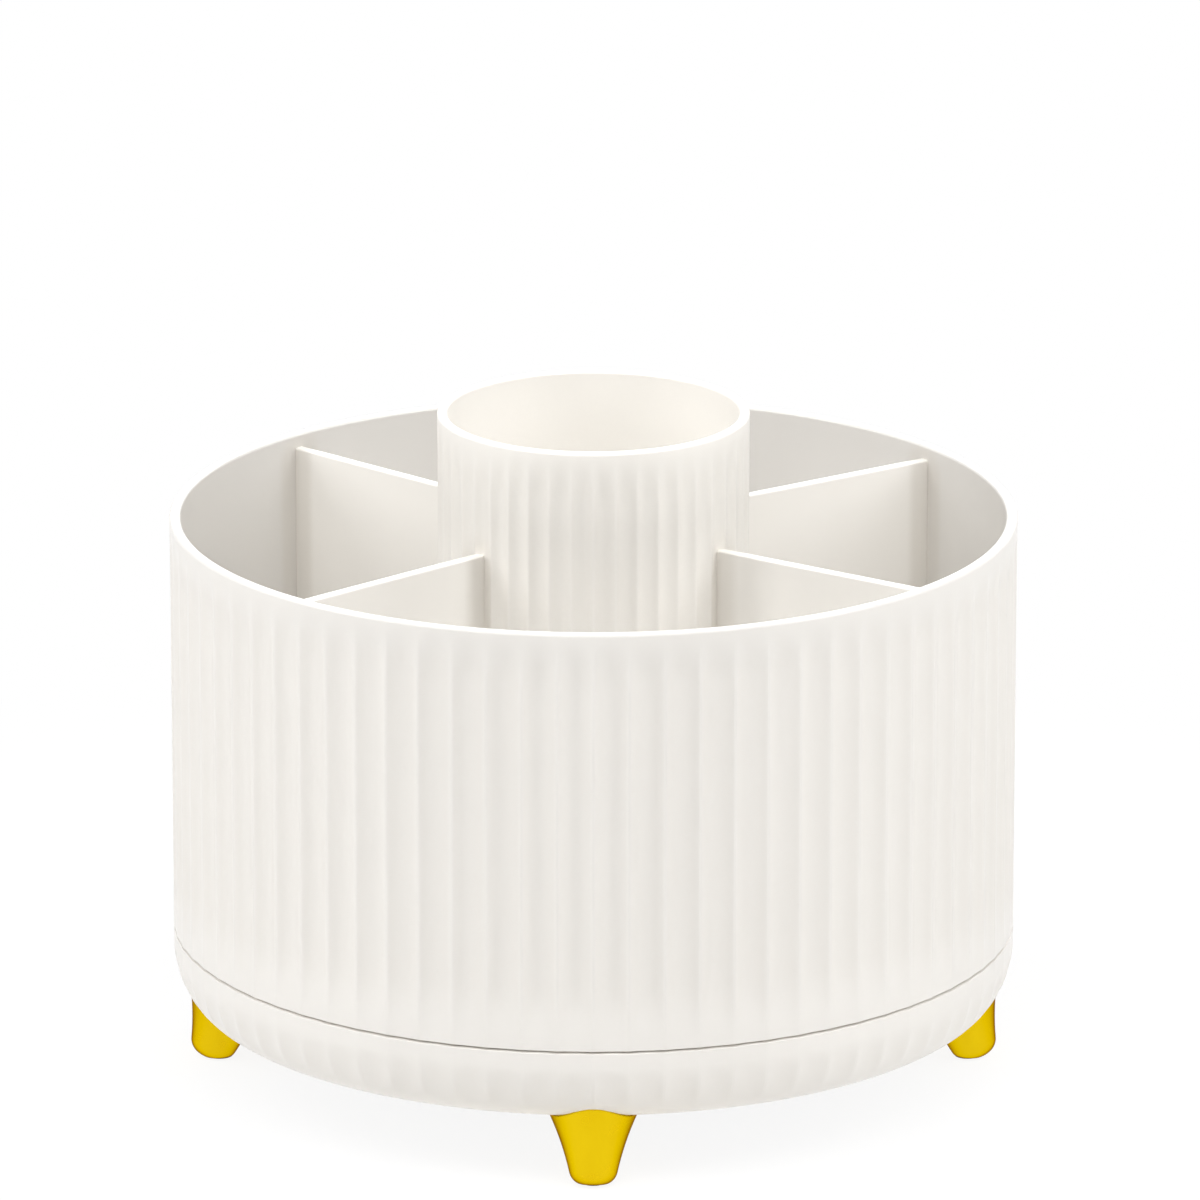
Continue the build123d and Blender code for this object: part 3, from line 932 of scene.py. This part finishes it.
def dish_rows(dish, flutes):
    """Half section of the dish: from its bore along the underside, over the rim and to the hub."""
    ridge = TUB_RADIUS
    inner = ridge - dish.wall
    base = DISH_LOW.z
    top = DISH_HIGH.z
    hub = dish.recess_radius + dish.hub_wall
    race_outer = RACE_RADIUS + dish.race_play
    race_inner = RACE_RADIUS - dish.race_width - dish.race_play
    rib_top = DISH_FLOOR + dish.rib_height
    round_z = base + dish.round_height
    inner_corner = (inner - dish.round_width, round_z)
    outer_corner = (ridge - dish.round_width, round_z)
    rows = plain(
        [
            (dish.bush_radius, base + dish.hub_height),
            (dish.bush_radius, base + dish.recess_height),
            (dish.recess_radius, base + dish.recess_height),
            (dish.recess_radius, base),
        ]
    )
    rows += plain(spread((dish.recess_radius, base), (outer_corner[0], base), DISH_UNDERSIDE_STEPS))
    rounding = arc(outer_corner, dish.round_width, -90, 0, DISH_ROUND_STEPS, dish.round_height)
    for (radius, height), cut in zip(rounding, dish_cuts(flutes, len(rounding))):
        rows.append((radius, height, cut))
    rim_edge = arc((ridge - dish.edge, top - dish.edge), dish.edge, 0, 90, EDGE_STEPS)
    rows += fluted(rim_edge, flutes.seam_share)
    step_radius = ridge - dish.seam_depth
    rows += plain([(step_radius, top), (step_radius, top + dish.step)])
    step_edge = (inner + dish.edge, top + dish.step - dish.edge)
    rows += plain(arc(step_edge, dish.edge, 90, 180, EDGE_STEPS))
    bowl_height = round_z - DISH_FLOOR
    rows += plain(arc(inner_corner, dish.round_width, 0, -90, DISH_INSIDE_STEPS, bowl_height))
    rows += plain(
        [
            (race_outer + dish.rib, DISH_FLOOR),
            (race_outer + dish.rib, rib_top),
            (race_outer, rib_top),
            (race_outer, DISH_FLOOR),
            (race_inner, DISH_FLOOR),
            (race_inner, rib_top),
            (race_inner - dish.rib, rib_top),
            (race_inner - dish.rib, DISH_FLOOR),
            (hub, DISH_FLOOR),
            (hub, base + dish.hub_height),
        ]
    )
    return rows, ridge


class PENHOLDER_OT_base_dish(bpy.types.Operator):
    """Build the shallow fluted dish that the tub turns on"""

    bl_idname = "penholder.base_dish"
    bl_label = "Base Dish"

    def execute(self, context):
        settings = context.scene.pen_holder
        flutes = settings.flutes
        rows, ridge = dish_rows(settings.dish, flutes)
        columns = flute_columns(ridge, flutes.tub_count, flutes.tub_depth, flutes.tub_land, flutes.softness)
        piece = lathe("fluted_dish", rows, columns, flutes.cut_softness, True)
        # Painted light: the dish takes its lighter copy of the white
        dress(piece, "base_dish", satin_moulding("dish"))
        finish_nodes(["hub_cap"], satin_moulding("white"))
        return {"FINISHED"}


class PENHOLDER_OT_feet(bpy.types.Operator):
    """Plate the splayed feet and give their pads a rubber finish"""

    bl_idname = "penholder.feet"
    bl_label = "Feet and Pads"

    def execute(self, context):
        finish_nodes(FOOT_NODES, gold_plating())
        finish_nodes(PAD_NODES, pad_rubber())
        return {"FINISHED"}


class PENHOLDER_OT_turntable(bpy.types.Operator):
    """Finish the races, the ball cage and the balls"""

    bl_idname = "penholder.turntable"
    bl_label = "Ball Ring"

    def execute(self, context):
        finish_nodes(["upper_race", "lower_race", "ball_cage"], acetal())
        finish_nodes(["bearing_balls"], polished_steel())
        return {"FINISHED"}


class PENHOLDER_OT_pivot(bpy.types.Operator):
    """Finish the pivot shaft, its bush, washer and screw"""

    bl_idname = "penholder.pivot"
    bl_label = "Pivot"

    def execute(self, context):
        finish_nodes(["pivot_shaft"], polished_steel())
        finish_nodes(["pivot_bush"], acetal())
        finish_nodes(["retaining_washer", "retaining_screw"], zinc_plating())
        return {"FINISHED"}


class PENHOLDER_OT_screws(bpy.types.Operator):
    """Finish the screws of the cup and the feet"""

    bl_idname = "penholder.screws"
    bl_label = "Screws"

    def execute(self, context):
        finish_nodes(["cup_screws", "foot_screws"], zinc_plating())
        return {"FINISHED"}


# Stage


def seen_rays(tree):
    """Mask of the rays that show the background itself: camera, glossy and transmission rays."""
    rays = add(tree, "ShaderNodeLightPath")
    first = add(
        tree,
        "ShaderNodeMath",
        {0: rays.outputs["Is Camera Ray"], 1: rays.outputs["Is Glossy Ray"]},
        operation="MAXIMUM",
    )
    both = add(
        tree,
        "ShaderNodeMath",
        {0: first.outputs[0], 1: rays.outputs["Is Transmission Ray"]},
        operation="MAXIMUM",
    )
    return both.outputs[0]


def floor_finish(stage):
    """Pale floor that keeps the shade near the object and is plain white further off."""
    material = bpy.data.materials.new("pale_floor")
    material.use_nodes = True
    tree = material.node_tree
    tree.nodes.clear()
    place = add(tree, "ShaderNodeTexCoord").outputs["Object"]
    away = add(tree, "ShaderNodeVectorMath", {0: place}, operation="LENGTH").outputs["Value"]
    clear = add(
        tree,
        "ShaderNodeMapRange",
        {
            "Value": away,
            "From Min": stage.shade_radius,
            "From Max": stage.clear_radius,
            "To Min": stage.floor_glow,
        },
        interpolation_type="SMOOTHSTEP",
    )
    shown = add(
        tree, "ShaderNodeMath", {0: clear.outputs["Result"], 1: seen_rays(tree)}, operation="MULTIPLY"
    )
    rays = add(tree, "ShaderNodeLightPath")
    tone = blend_colour(tree, rays.outputs["Is Camera Ray"], stage.floor_bounce, stage.floor_colour)
    matte = add(tree, "ShaderNodeBsdfDiffuse", {"Color": tone})
    white = add(tree, "ShaderNodeEmission", {"Color": WHITE, "Strength": 1.0})
    both = add(
        tree,
        "ShaderNodeMixShader",
        {0: shown.outputs[0], 1: matte.outputs["BSDF"], 2: white.outputs["Emission"]},
    )
    output = tree.nodes.new("ShaderNodeOutputMaterial")
    tree.links.new(both.outputs["Shader"], output.inputs["Surface"])
    return material


def studio_world(stage):
    """Even studio light, white where it is seen."""
    world = bpy.data.worlds.new("studio")
    world.use_nodes = True
    tree = world.node_tree
    tree.nodes.clear()
    lit = add(tree, "ShaderNodeBackground", {"Color": WHITE, "Strength": stage.sky})
    white = add(tree, "ShaderNodeBackground", {"Color": WHITE, "Strength": 1.0})
    both = add(
        tree,
        "ShaderNodeMixShader",
        {0: seen_rays(tree), 1: lit.outputs["Background"], 2: white.outputs["Background"]},
    )
    output = tree.nodes.new("ShaderNodeOutputWorld")
    tree.links.new(both.outputs["Shader"], output.inputs["Surface"])
    bpy.context.scene.world = world


def aim(thing, target):
    """Turn a lamp or the camera towards a point."""
    thing.rotation_mode = "QUATERNION"
    thing.rotation_quaternion = (Vector(target) - thing.location).to_track_quat("-Z", "Y")


def add_lamp(name, place, width, height, power, aim_height):
    """Soft rectangular lamp that faces a height on the turning axis."""
    data = bpy.data.lights.new(name, "AREA")
    data.shape = "RECTANGLE"
    data.size = width
    data.size_y = height
    data.energy = power
    lamp = bpy.data.objects.new(name, data)
    lamp.location = place
    bpy.context.scene.collection.objects.link(lamp)
    aim(lamp, (0.0, 0.0, aim_height))


class PENHOLDER_OT_stage(bpy.types.Operator):
    """Set the pale floor, the soft lamps and the camera"""

    bl_idname = "penholder.stage"
    bl_label = "Stage"

    def execute(self, context):
        stage = context.scene.pen_holder.stage
        turns = [tau * side / STUDIO_FLOOR_SIDES for side in range(STUDIO_FLOOR_SIDES)]
        rim = [(stage.floor_radius * cos(turn), stage.floor_radius * sin(turn), 0.0) for turn in turns]
        mesh = bpy.data.meshes.new("studio_floor")
        mesh.from_pydata(rim, [], [tuple(range(len(rim)))])
        mesh.materials.append(floor_finish(stage))
        floor = bpy.data.objects.new("studio_floor", mesh)
        context.scene.collection.objects.link(floor)
        studio_world(stage)
        for name, power, place, width, height in LAMPS:
            add_lamp(name, place, width, height, getattr(stage, power), stage.lamp_aim)
        target = Vector((stage.aim_shift, 0.0, stage.aim_height))
        back = Vector((0.0, -cos(stage.camera_elevation), sin(stage.camera_elevation)))
        data = bpy.data.cameras.new("photo_camera")
        data.lens = stage.lens
        data.sensor_width = stage.sensor
        data.clip_end = stage.clip_end
        camera = bpy.data.objects.new("photo_camera", data)
        camera.location = target + back * stage.camera_distance
        context.scene.collection.objects.link(camera)
        aim(camera, target)
        context.scene.camera = camera
        context.scene.view_settings.view_transform = "Standard"
        return {"FINISHED"}


OPERATORS = (
    PENHOLDER_OT_tub_shell,
    PENHOLDER_OT_center_cup,
    PENHOLDER_OT_dividers,
    PENHOLDER_OT_base_dish,
    PENHOLDER_OT_feet,
    PENHOLDER_OT_turntable,
    PENHOLDER_OT_pivot,
    PENHOLDER_OT_screws,
    PENHOLDER_OT_stage,
)


class PENHOLDER_PT_pieces(bpy.types.Panel):
    """Pieces of the pen holder"""

    bl_idname = "PENHOLDER_PT_pieces"
    bl_label = "Pen Holder"
    bl_space_type = "VIEW_3D"
    bl_region_type = "UI"
    bl_category = "Pen Holder"

    def draw(self, context):
        for operator in OPERATORS:
            self.layout.operator(operator.bl_idname)


SETTINGS = (
    FluteSettings,
    TubSettings,
    CupSettings,
    DividerSettings,
    DishSettings,
    FinishSettings,
    StageSettings,
    PenHolderSettings,
)


def register():
    """Register the settings, the operators and the panel."""
    for item in SETTINGS + OPERATORS + (PENHOLDER_PT_pieces,):
        bpy.utils.register_class(item)
    bpy.types.Scene.pen_holder = PointerProperty(type=PenHolderSettings)


def unregister():
    """Undo register."""
    del bpy.types.Scene.pen_holder
    for item in reversed(SETTINGS + OPERATORS + (PENHOLDER_PT_pieces,)):
        bpy.utils.unregister_class(item)


def main():
    """Build every piece and the stage."""
    register()
    bpy.ops.penholder.tub_shell()
    bpy.ops.penholder.center_cup()
    bpy.ops.penholder.dividers()
    bpy.ops.penholder.base_dish()
    bpy.ops.penholder.feet()
    bpy.ops.penholder.turntable()
    bpy.ops.penholder.pivot()
    bpy.ops.penholder.screws()
    bpy.ops.penholder.stage()


if __name__ == "__main__":
    main()
